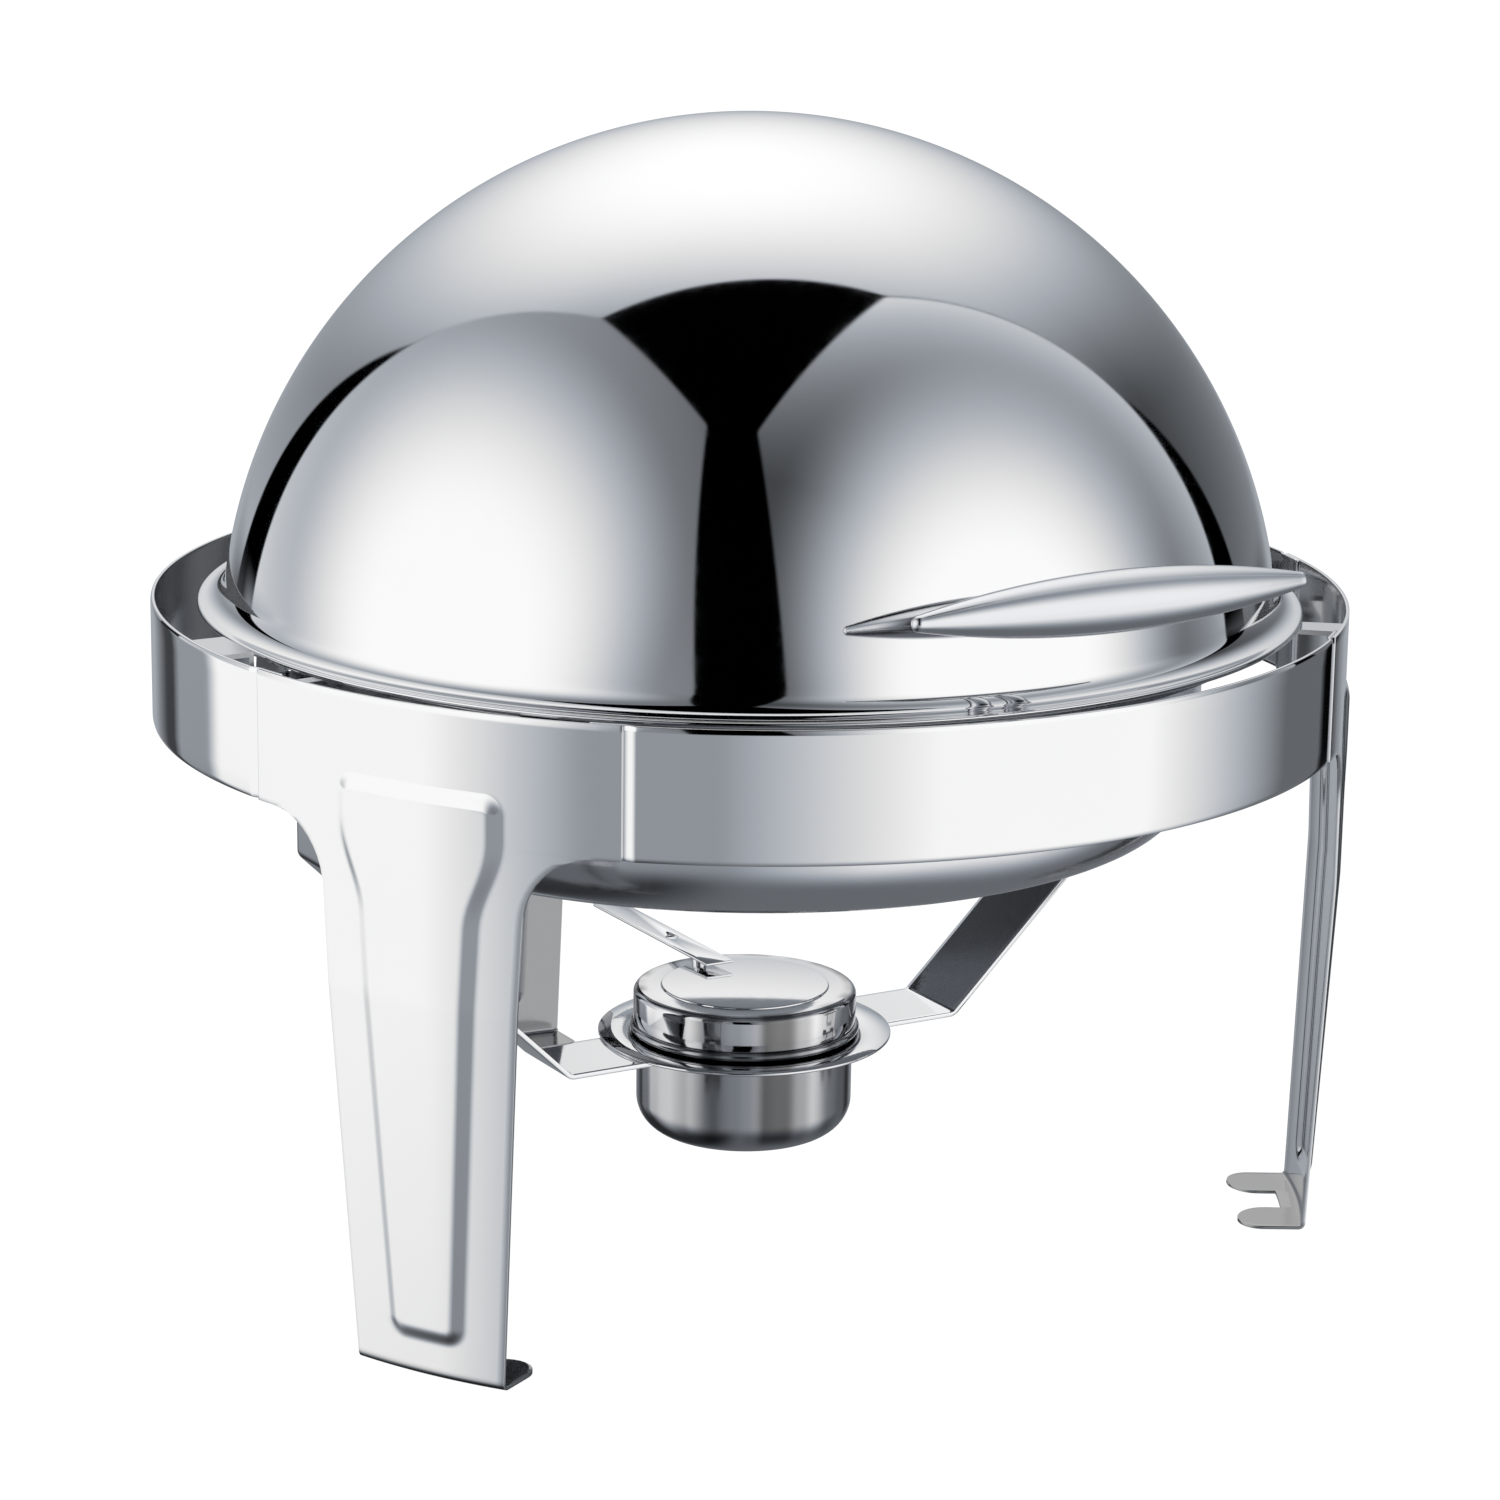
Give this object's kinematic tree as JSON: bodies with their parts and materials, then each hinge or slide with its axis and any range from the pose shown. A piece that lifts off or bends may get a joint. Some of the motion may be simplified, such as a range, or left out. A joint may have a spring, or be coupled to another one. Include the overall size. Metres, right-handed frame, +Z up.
{
  "type": "roll top chafer",
  "caption": "Round roll top chafer: domed hood rolls back on side pivots over a food pan and water pan, on a banded three-leg stand with a hanging fuel cup.",
  "frame": {"origin": "on the table, under the centre of the object's box", "axes": "+X right along the lid's pivot axis, +Y from the handle to the back, +Z up"},
  "size_m": [0.5, 0.5316, 0.4687],
  "materials": {
    "polished_steel": "polished",
    "burner_steel": "polished",
    "cup_lid_steel": "polished",
    "cup_steel": "satin",
    "handle_metal": "satin",
    "pan_steel": "satin",
    "bracket_steel": "satin",
    "fastener_steel": "satin"
  },
  "bodies": {
    "frame": {"front_left_leg": "polished_steel", "front_right_leg": "polished_steel", "rear_leg": "polished_steel", "front_band": "polished_steel", "left_band": "polished_steel", "right_band": "polished_steel", "left_pivot_bracket": "bracket_steel", "right_pivot_bracket": "bracket_steel", "pivot_pins": "fastener_steel", "pivot_bushes": "fastener_steel", "pivot_nuts": "fastener_steel", "pan_carrier": "bracket_steel", "left_burner_arm": "burner_steel", "right_burner_arm": "burner_steel", "burner_ring": "burner_steel"},
    "water_pan": {"water_pan": "pan_steel"},
    "food_pan": {"food_pan": "pan_steel"},
    "lid": {"lid_shell": "polished_steel", "left_lid_ear": "bracket_steel", "right_lid_ear": "bracket_steel", "handle": "handle_metal", "handle_screws": "fastener_steel", "handle_washers": "fastener_steel"},
    "fuel_cup": {"fuel_cup": "cup_steel"},
    "cup_lid": {"cup_lid": "cup_lid_steel", "cup_lid_handle": "burner_steel", "cup_lid_stud": "burner_steel"}
  },
  "joints": [
    {"name": "lid_roll", "type": "hinge", "parent": "frame", "child": "lid", "pos_m": [0, 0.01363, 0.2475], "axis": [-1, 0, 0], "range_deg": [0, 88]},
    {"name": "water_lift", "type": "slide", "parent": "frame", "child": "water_pan", "axis": [0, 0, 1], "range_m": [0, 0.02]},
    {"name": "food_lift", "type": "slide", "parent": "water_pan", "child": "food_pan", "axis": [0, 0, 1], "range_m": [0, 0.052]},
    {"name": "cup_lift", "type": "slide", "parent": "frame", "child": "fuel_cup", "axis": [0, 0, 1], "range_m": [0, 0.046]},
    {"name": "cup_lid_lift", "type": "slide", "parent": "fuel_cup", "child": "cup_lid", "axis": [0, 0, 1], "range_m": [0, 0.02]}
  ]
}
